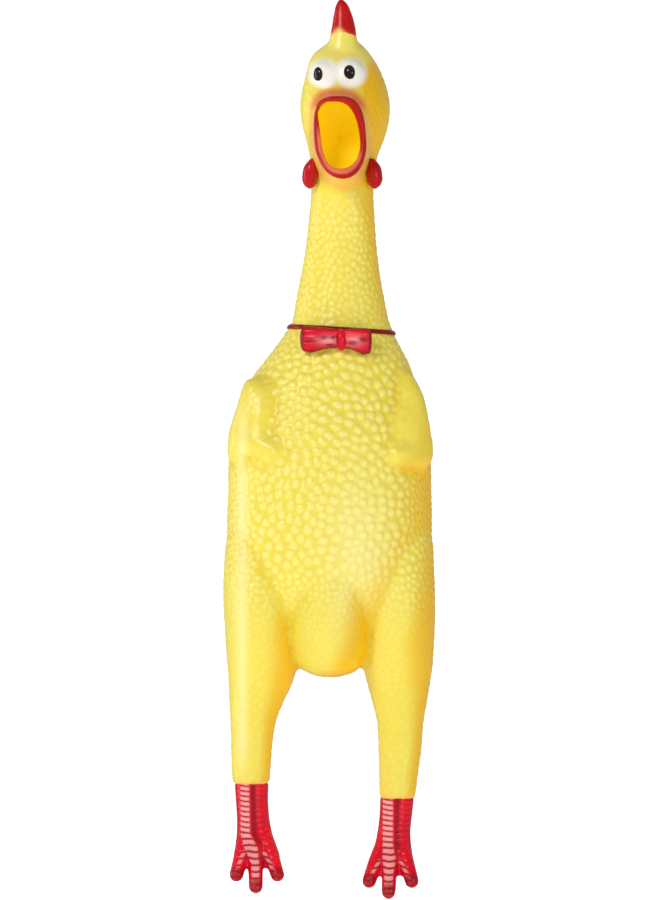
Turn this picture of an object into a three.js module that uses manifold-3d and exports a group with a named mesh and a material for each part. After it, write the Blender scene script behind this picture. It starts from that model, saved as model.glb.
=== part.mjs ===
// A rubber chicken: a hollow vinyl skin with a gaping beak and a squeaker in its throat.
// Millimetres. +Z is up, the front faces -Y, and left and right are as seen from the front.
// The origin is in the middle of the chest.

import * as THREE from 'three';
import { mergeVertices } from 'three/addons/utils/BufferGeometryUtils.js';
import Module from 'manifold-3d';

const wasm = await Module();
wasm.setup();

// ---------- sizes ----------

const WALL = 2; // thickness of the vinyl skin
const GAP = 0.3; // clearance between neighbouring pieces
const SIDES = 20; // corners around a ring of the body
const LEG_SIDES = 12;
const FAR = 300; // half side of a cutting block, larger than the chicken

const NECK_BOTTOM = 57;
const NECK_TOP = 100;
const LEG_TOP = -102;
const KNEE = -128;
const BACK_FLAT = 30; // y of the flattened patch that the toy lies on

const BELLY = { x: 0, z: -22, halfWidth: 25, halfHeight: 33, front: -18 };
const BAND = { x: 4.9, z: 54, halfHeight: 1.1, proud: 2, tilt: THREE.MathUtils.degToRad(3.5) };
const BOW = { x: 3.6, y: -24.8, z: 49.5, reach: 16.2, halfHeight: 6.4, halfDepth: 3.4, knot: 3.4 };
const BEAK = { x: 4.8, z: 140, halfWidth: 9.4, halfHeight: 14.6, root: -4, corner: -27, tip: -36 };
const LIP = { halfWidth: 10.4, halfHeight: 16.4, thick: 1.25, tall: 2.1, deep: 2 };
const THROAT = { x: 5.6, y: 1, r: 4 };
const SQUEAKER = { r: 8, bottom: 102, top: 119, wall: 1.5, capThick: 1.6, holes: 5, holeR: 1 };
const REED = { width: 3.6, thick: 0.4, bottom: 107.6, top: 116.6, stand: 0.9 };

// Rings of the body from the rump up to the crown: height, middle and half sizes.
const BODY_RINGS = [
  { z: -97, x: 0.3, y: -3, w: 20, d: 12 },
  { z: -92, x: 0.3, y: -3, w: 36, d: 20 },
  { z: -84, x: 0.3, y: -3, w: 43.5, d: 26 },
  { z: -72, x: 0.3, y: -3, w: 46.2, d: 31 },
  { z: -55, x: 0, y: -3, w: 46.6, d: 34 },
  { z: -32, x: 0, y: -3, w: 46, d: 35 },
  { z: -10, x: 0, y: -2, w: 44.6, d: 34 },
  { z: 5, x: 0.2, y: -1, w: 43.6, d: 32.5 },
  { z: 20, x: 0.8, y: 0, w: 40.5, d: 29.5 },
  { z: 30, x: 1.2, y: 0, w: 36.8, d: 26.5 },
  { z: 40, x: 3.2, y: 0, w: 30.8, d: 23.5 },
  { z: 49, x: 4.2, y: 0, w: 25.2, d: 20.8 },
  { z: 57, x: 5.1, y: 0, w: 21.2, d: 19 },
  { z: 67, x: 5.0, y: 0, w: 19.4, d: 17.6 },
  { z: 80, x: 5.2, y: 0, w: 16.9, d: 15.8 },
  { z: 95, x: 5.4, y: 0, w: 15.1, d: 14.4 },
  { z: 112, x: 5.8, y: 0, w: 14, d: 13.8 },
  { z: 128, x: 6.4, y: 0.5, w: 15, d: 15.5 },
  { z: 141, x: 7.1, y: 1, w: 17.6, d: 18.5 },
  { z: 153, x: 7.2, y: 1.5, w: 19.2, d: 20 },
  { z: 163, x: 6.9, y: 2, w: 17.6, d: 19 },
  { z: 172, x: 6, y: 2.5, w: 14, d: 15.5 },
  { z: 179, x: 5.6, y: 3, w: 10, d: 11 },
  { z: 183, x: 5.6, y: 3.5, w: 5, d: 6 },
];

// Rings of each leg from inside the rump down to the painted cuff.
const LEFT_LEG_RINGS = [
  { z: -76, x: -26.5, y: -4, w: 18.5, d: 19 },
  { z: -92, x: -28.8, y: -4, w: 16.2, d: 17 },
  { z: -103, x: -30.5, y: -4, w: 13.8, d: 14.6 },
  { z: -112, x: -32.6, y: -4, w: 11.8, d: 12.4 },
  { z: -122, x: -34.4, y: -4, w: 9.4, d: 10.4 },
  { z: -138, x: -34.9, y: -4, w: 8.6, d: 9.2 },
  { z: -150.3, x: -35.1, y: -4, w: 7.8, d: 8.2 },
];
const RIGHT_LEG_RINGS = [
  { z: -76, x: 27, y: -4, w: 18.5, d: 19 },
  { z: -92, x: 29.3, y: -4, w: 16.2, d: 17 },
  { z: -103, x: 31, y: -4, w: 13.8, d: 14.6 },
  { z: -112, x: 31.4, y: -4, w: 12, d: 12.4 },
  { z: -122, x: 31.6, y: -4, w: 10, d: 10.4 },
  { z: -140, x: 31.2, y: -4, w: 8.9, d: 9.2 },
  { z: -156.6, x: 30.3, y: -4, w: 7.6, d: 8 },
];

// The painted shank and the foot of each leg, with the three toe tips in [x, y, z].
const LEFT_FOOT = {
  x: -34.4, y: -4, cuff: -150.3, ankle: -172, shankR: 6.9, ankleR: 7.8, toeR: 3.3,
  tips: [[-40.9, -21, -189.3], [-32.6, -25, -194.4], [-23.4, -21, -189.5]],
};
const RIGHT_FOOT = {
  x: 29.4, y: -4, cuff: -156.6, ankle: -176, shankR: 6.8, ankleR: 7.4, toeR: 3.3,
  tips: [[18.2, -21, -192.4], [26.4, -25, -197], [36.2, -21, -192.4]],
};

const RUMP = { x: 0.4, y: -6, z: -74, halfWidth: 17, halfDepth: 26, halfHeight: 27 };

const COMB_POINTS = [
  { y: -1.5, base: 176, top: 200.6, w: 5.8, d: 5.8 },
  { y: 7.5, base: 175, top: 196.6, w: 5.4, d: 5.4 },
  { y: 15.5, base: 171, top: 189.4, w: 4.4, d: 4.6 },
];

const EYES = { y: -11, z: 168, halfWidth: 6.6, halfDepth: 6.8, halfHeight: 6.6, middle: 3.6 };
const LEFT_EYE = { x: -2.4, pupilX: -5, pupilZ: 167.6, pupilW: 2, pupilH: 3.3 };
const RIGHT_EYE = { x: 9.6, pupilX: 9, pupilZ: 168.4, pupilW: 2.5, pupilH: 3.3 };

const COLOURS = {
  yellow: 0xf2dc5a,
  orange: 0xf0b010,
  red: 0xd21634,
  darkRed: 0xa80c14,
  white: 0xfffbf0,
  black: 0x0a0a0c,
  plastic: 0xe9e6df,
  brass: 0xc8a24a,
};

// ---------- building tools ----------

/** The boolean solid of a closed three.js geometry. */
function solidOf(geometry) {
  const bare = geometry.clone();
  bare.deleteAttribute('normal');
  bare.deleteAttribute('uv');
  const merged = mergeVertices(bare, 1e-4);
  return new wasm.Manifold(new wasm.Mesh({
    numProp: 3,
    vertProperties: new Float32Array(merged.attributes.position.array),
    triVerts: new Uint32Array(merged.index.array),
  }));
}

/** A named mesh in one colour from a boolean solid. */
function meshOf(name, solid, colour) {
  const shape = solid.getMesh();
  const geometry = new THREE.BufferGeometry();
  geometry.setAttribute('position', new THREE.BufferAttribute(shape.vertProperties, 3));
  geometry.setIndex(new THREE.BufferAttribute(shape.triVerts, 1));
  geometry.computeVertexNormals();
  const material = new THREE.MeshStandardMaterial({ color: COLOURS[colour], roughness: 0.4 });
  const mesh = new THREE.Mesh(geometry, material);
  mesh.name = name;
  return mesh;
}

/** A closed solid through rings that all have the same number of points, with flat ends. */
function loft(rings) {
  const count = rings[0].length;
  const points = rings.flat();
  const middleOf = ring => ring.reduce((sum, p) => sum.add(p), new THREE.Vector3()).divideScalar(count);
  const first = points.push(middleOf(rings[0])) - 1;
  const last = points.push(middleOf(rings.at(-1))) - 1;
  const faces = [];
  for (let i = 0; i < count; i++) {
    const next = (i + 1) % count;
    for (let k = 0; k + 1 < rings.length; k++) {
      const low = k * count;
      const high = low + count;
      faces.push([low + i, low + next, high + next], [low + i, high + next, high + i]);
    }
    const top = (rings.length - 1) * count;
    faces.push([first, next, i], [last, top + i, top + next]);
  }
  return solidFromFaces(points, faces);
}

/** A closed ring-shaped solid: the last section joins back to the first. */
function closedSweep(sections) {
  const count = sections[0].length;
  const faces = [];
  for (let k = 0; k < sections.length; k++) {
    const here = k * count;
    const there = ((k + 1) % sections.length) * count;
    for (let i = 0; i < count; i++) {
      const next = (i + 1) % count;
      faces.push([here + i, here + next, there + next], [here + i, there + next, there + i]);
    }
  }
  return solidFromFaces(sections.flat(), faces);
}

/** A solid from points and triangles, turned so that its faces point outward. */
function solidFromFaces(points, faces) {
  let volume = 0;
  for (const [a, b, c] of faces) {
    volume += points[a].dot(new THREE.Vector3().crossVectors(points[b], points[c]));
  }
  const turned = volume < 0 ? faces.map(([a, b, c]) => [a, c, b]) : faces;
  return new wasm.Manifold(new wasm.Mesh({
    numProp: 3,
    vertProperties: new Float32Array(points.flatMap(p => p.toArray())),
    triVerts: new Uint32Array(turned.flat()),
  }));
}

/** Angles of evenly spaced corners around a circle. */
function corners(count) {
  return Array.from({ length: count }, (_, i) => (2 * Math.PI * i) / count);
}

/** A level oval ring. */
function levelRing(x, y, z, halfWidth, halfDepth, count) {
  return corners(count).map(angle => new THREE.Vector3(
    x + halfWidth * Math.cos(angle), y + halfDepth * Math.sin(angle), z,
  ));
}

/** A solid through level rings, grown outward and at both ends by an offset (inward when negative). */
function grown(rings, offset, count) {
  const rise = Math.sign(rings.at(-1).z - rings[0].z) * offset;
  const heights = rings.map(({ z }) => z);
  heights[0] -= rise;
  heights[heights.length - 1] += rise;
  return loft(rings.map(({ x, y, w, d }, i) => levelRing(x, y, heights[i], w + offset, d + offset, count)));
}

function boxSolid([x0, y0, z0], [x1, y1, z1]) {
  const box = new THREE.BoxGeometry(x1 - x0, y1 - y0, z1 - z0);
  return solidOf(box.translate((x0 + x1) / 2, (y0 + y1) / 2, (z0 + z1) / 2));
}

function ovalSolid([x, y, z], [halfWidth, halfDepth, halfHeight], around = 16, up = 10) {
  const ball = new THREE.SphereGeometry(1, around, up).rotateX(Math.PI / 2);
  return solidOf(ball.scale(halfWidth, halfDepth, halfHeight).translate(x, y, z));
}

/** An upright round bar. */
function barSolid(x, y, bottom, top, r, count = 18) {
  const bar = new THREE.CylinderGeometry(r, r, top - bottom, count).rotateX(Math.PI / 2);
  return solidOf(bar.translate(x, y, (bottom + top) / 2));
}

/** The part of a solid between two heights. */
function between(solid, bottom, top) {
  return solid.intersect(boxSolid([-FAR, -FAR, bottom], [FAR, FAR, top]));
}

// ---------- the skin as full solids ----------

const BEHIND = BACK_FLAT - FAR;

/** The full body, rump and legs, offset from the outer surface and flattened at the back. */
function torsoSolid(offset) {
  const { x, y, z, halfWidth, halfDepth, halfHeight } = RUMP;
  const rump = ovalSolid(
    [x, y, z], [halfWidth + offset, halfDepth + offset, halfHeight + offset], SIDES, 12,
  );
  return grown(BODY_RINGS, offset, SIDES)
    .add(grown(LEFT_LEG_RINGS, offset, LEG_SIDES))
    .add(grown(RIGHT_LEG_RINGS, offset, LEG_SIDES))
    .add(rump)
    .intersect(boxSolid([-FAR, -FAR, -FAR], [FAR, BACK_FLAT + offset, FAR]));
}

/** How far forward the beak's edge is at an angle around the mouth. */
function beakEdge(angle) {
  return BEAK.corner + (BEAK.tip - BEAK.corner) * Math.sin(angle) ** 2;
}

/** An oval ring around the mouth; back moves it toward the throat. */
function mouthRing(halfWidth, halfHeight, yAt) {
  return corners(SIDES).map(angle => new THREE.Vector3(
    BEAK.x + halfWidth * Math.cos(angle), yAt(angle), BEAK.z + halfHeight * Math.sin(angle),
  ));
}

/** The open beak as a full solid: it narrows from the face to its edge. */
function beakSolid(offset, back) {
  return loft([
    mouthRing(13.6 + offset, 20 + offset, () => BEAK.root),
    mouthRing(12.6 + offset, 18.6 + offset, () => BEAK.root - 14),
    mouthRing(11.4 + offset, 17.2 + offset, angle => beakEdge(angle) + back),
  ]);
}

// ---------- body skin ----------

function bellyBlock(clearance) {
  const { x, z, halfWidth, halfHeight, front } = BELLY;
  return boxSolid(
    [x - halfWidth - clearance, -FAR, z - halfHeight - clearance],
    [x + halfWidth + clearance, front + clearance, z + halfHeight + clearance],
  );
}

function bodySkins() {
  const shell = torsoSolid(0).subtract(torsoSolid(-WALL));
  const torso = between(shell, LEG_TOP, NECK_BOTTOM).subtract(bellyBlock(GAP));
  const neck = between(shell, NECK_BOTTOM + GAP, NECK_TOP - GAP);
  return [
    meshOf('torso_skin', torso, 'yellow'),
    meshOf('belly_panel', shell.intersect(bellyBlock(0)), 'yellow'),
    meshOf('neck_skin', neck, 'yellow'),
  ];
}

// ---------- legs and feet ----------

function legTube(rings, bottom, top) {
  const tube = grown(rings, 0, LEG_SIDES);
  const { z: end } = rings.at(-1);
  const open = rings.map(ring => ({ ...ring, z: ring.z === end ? end - 2 * WALL : ring.z }));
  return between(tube.subtract(grown(open, -WALL, LEG_SIDES)), bottom, top);
}

function shankSolid({ x, y, cuff, ankle, shankR, ankleR }) {
  const ringsFor = offset => [
    levelRing(x, y, cuff - GAP - offset, shankR + offset, shankR + offset, LEG_SIDES),
    levelRing(x, y, (cuff + ankle) / 2, shankR + offset, shankR + offset, LEG_SIDES),
    levelRing(x, y, ankle + GAP + offset, ankleR + offset, ankleR + offset, LEG_SIDES),
  ];
  return loft(ringsFor(0)).subtract(loft(ringsFor(-WALL)));
}

/** One toe: a rounded, tapering finger from the ankle to its tip. */
function toeSolid({ x, y, ankle, ankleR, toeR }, tip) {
  const start = new THREE.Vector3(x, y, ankle);
  const end = new THREE.Vector3(...tip);
  const stations = [
    { t: 0, r: ankleR * 0.78 }, { t: 0.35, r: toeR * 1.35 }, { t: 0.8, r: toeR },
    { t: 0.95, r: toeR * 0.9 }, { t: 1.06, r: toeR * 0.45 },
  ];
  return loft(stations.map(({ t, r }) => {
    const middle = start.clone().lerp(end, t);
    return levelRing(middle.x, middle.y, middle.z, r, r, 10);
  }));
}

function footSolid(foot) {
  const { x, y, ankle, ankleR, tips } = foot;
  const stem = loft([
    levelRing(x, y, ankle, ankleR, ankleR, LEG_SIDES),
    levelRing(x, y - 4, ankle - 7, ankleR * 1.15, ankleR * 0.9, LEG_SIDES),
    levelRing(x, y - 7, ankle - 11, ankleR * 0.8, ankleR * 0.5, LEG_SIDES),
  ]);
  const toes = tips.map(tip => toeSolid(foot, tip));
  return between(toes.reduce((sum, toe) => sum.add(toe), stem), -FAR, ankle);
}

function legMeshes(side, rings, foot) {
  const tube = (bottom, top) => legTube(rings, bottom, top);
  return [
    meshOf(`leg_upper_${side}`, tube(KNEE + GAP, LEG_TOP - GAP), 'yellow'),
    meshOf(`leg_lower_${side}`, tube(foot.cuff, KNEE), 'yellow'),
    meshOf(`shank_${side}`, shankSolid(foot), 'red'),
    meshOf(`foot_${side}`, footSolid(foot), 'red'),
  ];
}

// ---------- head ----------

const MOUTH_BACK = -7; // y of the closed end of the mouth pocket

function mouthHole() {
  return loft([
    mouthRing(BEAK.halfWidth, BEAK.halfHeight, () => BEAK.tip - 5),
    mouthRing(BEAK.halfWidth, BEAK.halfHeight, () => MOUTH_BACK + GAP),
  ]);
}

function headSkin() {
  const full = offset => grown(BODY_RINGS, offset, SIDES).add(beakSolid(offset, LIP.deep + 2 * GAP));
  const shell = full(0).subtract(full(-WALL)).subtract(mouthHole());
  return meshOf('head_skin', between(shell, NECK_TOP, FAR), 'yellow');
}

/** The pocket inside the beak, closed at the back but for the hole the sound comes out of. */
function mouthLiner() {
  const lining = 1.2;
  const fit = { halfWidth: BEAK.halfWidth - GAP, halfHeight: BEAK.halfHeight - GAP };
  const edge = angle => beakEdge(angle) + LIP.deep + 2 * GAP;
  const pocket = (inset, front, back) => loft([
    mouthRing(fit.halfWidth - inset, fit.halfHeight - inset, front),
    mouthRing(fit.halfWidth - inset, fit.halfHeight - inset, () => -16),
    mouthRing(fit.halfWidth - 2 - inset, fit.halfHeight - 2 - inset, () => back),
  ]);
  const cup = pocket(0, edge, MOUTH_BACK)
    .subtract(pocket(lining, angle => edge(angle) - 4, MOUTH_BACK - lining));
  const soundHole = solidOf(new THREE.CylinderGeometry(THROAT.r, THROAT.r, 8, 20)
    .translate(BEAK.x, MOUTH_BACK, BEAK.z - 4));
  return meshOf('mouth_liner', cup.subtract(soundHole), 'orange');
}

/** The painted lip that runs all around the beak's edge. */
function beakLip() {
  const sections = corners(SIDES).map(angle => {
    const flatness = Math.sin(angle) ** 2;
    const halfBand = LIP.thick + (LIP.tall - LIP.thick) * flatness;
    const outward = new THREE.Vector3(Math.cos(angle), 0, Math.sin(angle));
    const middle = new THREE.Vector3(
      BEAK.x + LIP.halfWidth * Math.cos(angle), beakEdge(angle), BEAK.z + LIP.halfHeight * Math.sin(angle),
    );
    return corners(8).map(turn => middle.clone()
      .addScaledVector(outward, halfBand * Math.cos(turn))
      .add(new THREE.Vector3(0, LIP.deep * Math.sin(turn), 0)));
  });
  return meshOf('beak_lip', closedSweep(sections), 'red');
}

function headClearance() {
  return grown(BODY_RINGS, GAP, SIDES).add(beakSolid(GAP, LIP.deep));
}

function comb() {
  const points = COMB_POINTS.map(({ y, base, top, w, d }) => {
    const rise = top - base;
    return loft([
      levelRing(5.6, y, base, w, d, 10),
      levelRing(5.6, y, base + rise * 0.5, w * 0.95, d * 0.9, 10),
      levelRing(5.4, y, base + rise * 0.8, w * 0.6, d * 0.6, 10),
      levelRing(5.2, y, top, w * 0.22, d * 0.25, 10),
    ]);
  });
  const ridge = ovalSolid([5.6, 7, 177], [4.6, 13, 9], 12, 8);
  return points.reduce((sum, point) => sum.add(point), ridge).subtract(headClearance());
}

function wattle(x) {
  const drop = loft([
    levelRing(x, -12.5, 117.2, 1.4, 1.4, 14),
    levelRing(x, -12.5, 119.5, 3, 3, 14),
    levelRing(x, -12.5, 123, 3.7, 3.8, 14),
    levelRing(x * 0.96, -12.5, 127, 3.2, 3.6, 14),
    levelRing(x * 0.86, -12, 132, 2, 2.6, 14),
  ]);
  return drop.subtract(headClearance());
}

/** The white of one eye, on one side of the plane between the eyes. */
function eyeball(x, side) {
  const { y, z, halfWidth, halfDepth, halfHeight, middle } = EYES;
  const ball = ovalSolid([x, y, z], [halfWidth, halfDepth, halfHeight], 14, 9);
  const edge = middle + side * GAP / 2;
  const half = side < 0
    ? boxSolid([-FAR, -FAR, 0], [edge, FAR, FAR])
    : boxSolid([edge, -FAR, 0], [FAR, FAR, FAR]);
  return ball.intersect(half).subtract(headClearance());
}

/** A pupil: a thin oval cap that lies on the front of the eyeball. */
function pupil({ x, pupilX, pupilZ, pupilW, pupilH }) {
  const { y, z, halfWidth, halfDepth, halfHeight } = EYES;
  const ballGrown = by => ovalSolid(
    [x, y, z], [halfWidth + by, halfDepth + by, halfHeight + by], 14, 9,
  );
  const post = solidOf(new THREE.CylinderGeometry(1, 1, 20, 18)
    .scale(pupilW, 1, pupilH)
    .translate(pupilX, y - 10, pupilZ));
  return post.intersect(ballGrown(1)).subtract(ballGrown(0.2));
}

function headMeshes() {
  return [
    headSkin(),
    mouthLiner(),
    beakLip(),
    meshOf('comb', comb(), 'red'),
    meshOf('wattle_left', wattle(-8.6), 'red'),
    meshOf('wattle_right', wattle(20.6), 'red'),
    meshOf('eyeball_left', eyeball(LEFT_EYE.x, -1), 'white'),
    meshOf('eyeball_right', eyeball(RIGHT_EYE.x, 1), 'white'),
    meshOf('pupil_left', pupil(LEFT_EYE), 'black'),
    meshOf('pupil_right', pupil(RIGHT_EYE), 'black'),
  ];
}

// ---------- wings and bow tie ----------

/** A folded wing: shoulder, elbow and tucked tip, standing on the chest's side. */
function wing(side) {
  const folded = ovalSolid([side * 35.5, -9, 14], [9.6, 17, 19], 14, 9)
    .add(ovalSolid([side * 38, -3, 2], [7.4, 16, 10.5], 12, 8))
    .add(ovalSolid([side * 33, -14, 24], [8.5, 11, 9], 12, 8));
  return folded.subtract(torsoSolid(GAP));
}

function tiltedSlab(halfHeight) {
  const slab = new THREE.BoxGeometry(120, 120, 2 * halfHeight);
  return solidOf(slab.rotateY(BAND.tilt).translate(BAND.x, 0, BAND.z));
}

function neckBand() {
  const ring = grown(BODY_RINGS, BAND.proud, SIDES).subtract(grown(BODY_RINGS, GAP, SIDES));
  return ring.intersect(tiltedSlab(BAND.halfHeight));
}

/** One loop of the bow: a soft pillow that is pinched at the knot. */
function bowLoop(side) {
  const stations = [
    { t: 0.06, h: 0.5, d: 0.45 }, { t: 0.35, h: 0.82, d: 0.95 }, { t: 0.7, h: 1, d: 1 },
    { t: 0.92, h: 0.9, d: 0.7 }, { t: 1, h: 0.6, d: 0.3 },
  ];
  const pillow = loft(stations.map(({ t, h, d }) => corners(14).map(angle => new THREE.Vector3(
    BOW.x + side * BOW.reach * t,
    BOW.y + BOW.halfDepth * d * Math.cos(angle),
    BOW.z - side * 1.2 * t + BOW.halfHeight * h * Math.sin(angle),
  ))));
  return pillow.subtract(bowKnotSolid(GAP)).subtract(bowClearance());
}

function bowKnotSolid(offset) {
  const half = BOW.knot + offset;
  return ovalSolid([BOW.x, BOW.y, BOW.z], [half, half + 0.8, half + 1.4], 14, 10);
}

function bowClearance() {
  const band = grown(BODY_RINGS, BAND.proud + GAP, SIDES).intersect(tiltedSlab(BAND.halfHeight + GAP));
  return band.add(grown(BODY_RINGS, GAP, SIDES));
}

function outfitMeshes() {
  return [
    meshOf('wing_left', wing(-1), 'yellow'),
    meshOf('wing_right', wing(1), 'yellow'),
    meshOf('neck_band', neckBand(), 'darkRed'),
    meshOf('bow_loop_left', bowLoop(-1), 'red'),
    meshOf('bow_loop_right', bowLoop(1), 'red'),
    meshOf('bow_knot', bowKnotSolid(0).subtract(bowClearance()), 'red'),
  ];
}

// ---------- squeaker ----------

const TROUGH = { halfWidth: 2.5, back: 4, front: 0, wall: 1, top: 117.6, plug: 107 };

function squeakerBody() {
  const { r, bottom, top, wall } = SQUEAKER;
  return barSolid(THROAT.x, THROAT.y, bottom, top, r)
    .subtract(barSolid(THROAT.x, THROAT.y, bottom - 1, top + 1, r - wall));
}

function squeakerCap() {
  const { r, top, capThick, holes, holeR } = SQUEAKER;
  const disc = barSolid(THROAT.x, THROAT.y, top + GAP, top + GAP + capThick, r);
  return corners(holes).reduce((cap, angle) => cap.subtract(barSolid(
    THROAT.x + r * 0.5 * Math.cos(angle), THROAT.y + r * 0.5 * Math.sin(angle), top - 1, top + 4, holeR, 8,
  )), disc);
}

/** The soft ring that seals the squeaker against the inside of the throat. */
function squeakerCollar() {
  return barSolid(THROAT.x, THROAT.y, 103.5, 108.5, 10.8)
    .subtract(barSolid(THROAT.x, THROAT.y, 100, 112, SQUEAKER.r + GAP));
}

/** The plug that fills the squeaker's foot and carries the trough the reed beats against. */
function reedHolder() {
  const { halfWidth, back, front, wall, top, plug } = TROUGH;
  const { x, y } = THROAT;
  const disc = barSolid(x, y, SQUEAKER.bottom + 1, plug, SQUEAKER.r - SQUEAKER.wall - GAP);
  const block = boxSolid([x - halfWidth, y + front, plug - 1], [x + halfWidth, y + back, top]);
  const channel = boxSolid(
    [x - halfWidth + wall, y + front - 1, plug + 2], [x + halfWidth - wall, y + back - wall, top - wall],
  );
  const airway = boxSolid(
    [x - halfWidth + wall, y + front + wall, SQUEAKER.bottom], [x + halfWidth - wall, y + back - wall, plug + 3],
  );
  return disc.add(block).subtract(channel).subtract(airway);
}

function reedTongue() {
  const front = THROAT.y + TROUGH.front - REED.stand;
  return boxSolid(
    [THROAT.x - REED.width / 2, front - REED.thick, REED.bottom],
    [THROAT.x + REED.width / 2, front, REED.top],
  );
}

/** The wedge that clamps the foot of the reed. */
function reedWedge() {
  const front = THROAT.y + TROUGH.front - REED.stand - REED.thick - GAP;
  return boxSolid(
    [THROAT.x - REED.width / 2, front - 1.4, TROUGH.plug + GAP],
    [THROAT.x + REED.width / 2, front, REED.bottom + 2.4],
  );
}

function squeakerMeshes() {
  return [
    meshOf('squeaker_body', squeakerBody(), 'plastic'),
    meshOf('squeaker_cap', squeakerCap(), 'plastic'),
    meshOf('squeaker_collar', squeakerCollar(), 'plastic'),
    meshOf('reed_holder', reedHolder(), 'plastic'),
    meshOf('reed_tongue', reedTongue(), 'brass'),
    meshOf('reed_wedge', reedWedge(), 'plastic'),
  ];
}

// ---------- the whole chicken ----------

const chicken = new THREE.Group();
chicken.name = 'rubber_chicken';
chicken.add(
  ...bodySkins(),
  ...legMeshes('left', LEFT_LEG_RINGS, LEFT_FOOT),
  ...legMeshes('right', RIGHT_LEG_RINGS, RIGHT_FOOT),
  ...headMeshes(),
  ...outfitMeshes(),
  ...squeakerMeshes(),
);

export default chicken;
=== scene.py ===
"""The looks of the rubber chicken: a pebbled vinyl skin with painted details, a bow tie, a gaping beak.

Metres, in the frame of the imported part: +Z up, the front faces -Y, left and right as seen from the front.
Tables and forms are written in millimetres and turned into metres once, where an object is made.
"""

import bpy
import numpy as np
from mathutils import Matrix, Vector, kdtree


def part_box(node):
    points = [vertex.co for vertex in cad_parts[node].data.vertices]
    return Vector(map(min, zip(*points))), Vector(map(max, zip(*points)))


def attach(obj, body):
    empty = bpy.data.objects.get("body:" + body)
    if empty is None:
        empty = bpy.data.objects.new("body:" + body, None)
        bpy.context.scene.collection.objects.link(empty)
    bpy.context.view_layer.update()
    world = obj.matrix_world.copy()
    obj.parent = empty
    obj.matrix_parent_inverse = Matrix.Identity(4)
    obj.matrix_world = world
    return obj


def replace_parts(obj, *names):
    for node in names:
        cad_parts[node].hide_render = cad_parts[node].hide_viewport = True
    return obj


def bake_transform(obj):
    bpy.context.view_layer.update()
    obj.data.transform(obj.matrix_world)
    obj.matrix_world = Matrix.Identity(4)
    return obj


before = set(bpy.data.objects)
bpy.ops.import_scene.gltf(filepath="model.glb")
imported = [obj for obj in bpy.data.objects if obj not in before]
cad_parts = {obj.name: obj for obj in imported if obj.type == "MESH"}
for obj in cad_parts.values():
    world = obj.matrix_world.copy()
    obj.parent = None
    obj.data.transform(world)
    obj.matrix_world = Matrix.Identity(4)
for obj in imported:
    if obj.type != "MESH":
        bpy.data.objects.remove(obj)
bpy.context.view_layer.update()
MM = 0.001
SEED = 7


def box_mm(node):
    """Lowest and highest corner of a CAD node, in millimetres."""
    low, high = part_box(node)
    return np.array(low) / MM, np.array(high) / MM


# ---------- places and sizes, mm ----------

NECK_LOW = box_mm("torso_skin")[1][2] - 2.5  # the skin is parted here, under the neck band
NECK_MIDDLE = 78.5
HEAD_LOW = 104.0
LEG_HIGH = box_mm("torso_skin")[0][2]
LEG_MIDDLE = -123.0
CUFF = {"left": box_mm("leg_lower_left")[0][2], "right": box_mm("leg_lower_right")[0][2]}
BACK_FLAT = box_mm("torso_skin")[1][1]
BELLY_EDGE = -22.5  # the skin in front of this plane dents when it is pressed
TOES = min(box_mm("foot_left")[0][2], box_mm("foot_right")[0][2])

MOUTH = {"y_corner": -27.0, "y_tip": -36.0, "back": -9.0}
MOUTH_INNER = {
    "x": 4.9, "z": 139.6, "w": 8.6, "h": 14.8, "lean": -0.12, "bend": -0.008, "square": (3.4, 2.4),
}
MOUTH_OUTER = {
    "x": 4.9, "z": 138.6, "w": 11.6, "h": 18.4, "lean": -0.06, "bend": 0.0, "square": (3.0, 2.1),
}
LIP_DEPTH = 2.2
# The paint of beak and eyes stays in front of these planes.
BEAK_PAINT_BACK = -8.0
EYE_PAINT_BACK = -4.0
FAR = 100.0  # further than any paint reaches

EYES = {
    "left": {
        "ball": (-2.4, -9.8, 168.1), "r": (5.9, 7.0, 6.0), "pupil": (-5.0, 167.5), "size": (2.0, 3.3),
    },
    "right": {
        "ball": (9.5, -9.8, 168.3), "r": (6.3, 7.0, 6.2), "pupil": (9.0, 168.4), "size": (2.5, 3.3),
    },
}

# Rings of the body from rump to crown: height, middle x, middle y, half width, half depth.
BODY_ROWS = [
    (-95, 0.3, -2, 16, 8), (-90, 0.3, -2, 26, 13), (-78, 0.3, -2, 36, 23.6),
    (-62, 0.2, -2.5, 41.5, 31.8), (-42, 0.1, -3, 45.4, 34), (-30, 0.2, -2.8, 45.6, 34.4),
    (-18, 0.3, -2.4, 45.2, 34.2), (-5, 0.3, -1.5, 45, 33.4), (8, 0.3, -1, 43, 31.8),
    (20, 0.9, 0, 40, 29.5), (31, 1.5, 0, 36.8, 26.4), (40, 3.2, 0, 31.8, 23.5), (49, 4.2, 0, 26, 20.8),
    (58, 5.1, 0, 21.4, 18.8), (67, 5, 0, 19.7, 17.6), (76, 5.1, 0, 17.9, 16.4), (90, 5.4, 0, 15.8, 14.8),
    (103, 5.7, 0, 14.6, 14), (114, 5.9, 0, 13.9, 13.8), (124, 6.1, 0.2, 14, 14.4),
    (132, 6.6, 0.5, 14.9, 16), (141, 7, 1, 17.6, 18.4), (148, 7, 1.3, 19.2, 19.6),
    (155, 6.9, 1.6, 19.6, 20), (163, 6.6, 2, 18.2, 18.9), (169, 6.2, 2.2, 16.4, 17),
    (174.5, 5.4, 2.6, 14.4, 14.4), (178.5, 5.2, 3, 11.8, 11.4), (182, 6, 3.4, 7.8, 8),
    (185, 6.2, 3.6, 3.4, 4),
]
SKULL_SHEAR = 0.2  # how far the head is turned: the face sits left of the back of the head

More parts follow.
